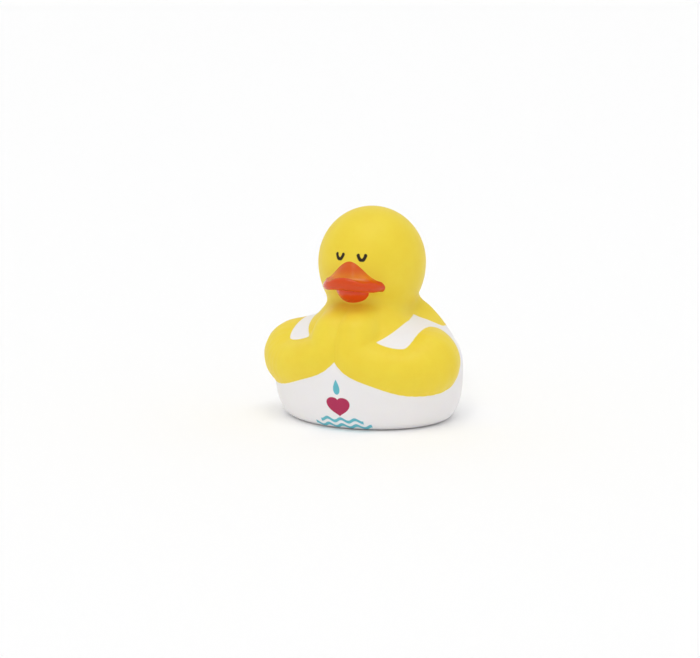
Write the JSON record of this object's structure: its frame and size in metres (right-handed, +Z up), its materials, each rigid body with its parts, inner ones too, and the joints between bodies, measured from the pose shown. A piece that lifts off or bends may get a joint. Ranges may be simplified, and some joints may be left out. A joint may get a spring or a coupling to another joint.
{
  "type": "rubber duck",
  "caption": "Hollow moulded bath duck with folded wing-like arms, closed eyes and a broad bill, standing on a flat base with a push-in squeaker.",
  "frame": {"origin": "middle of the width and length, on the flat base that the duck stands on", "axes": "+Z up; the duck faces -Y; +X is the duck's left side"},
  "size_m": [0.0751, 0.0684, 0.0761],
  "materials": {
    "vinyl": "satin yellow vinyl with sprayed white, orange and printed details",
    "plastic": "white injection-moulded plastic",
    "film": "thin glossy plastic film"
  },
  "bodies": {
    "root": {"duck_body": "vinyl", "squeaker_housing": "plastic", "squeaker_reed": "film"}
  },
  "joints": []
}
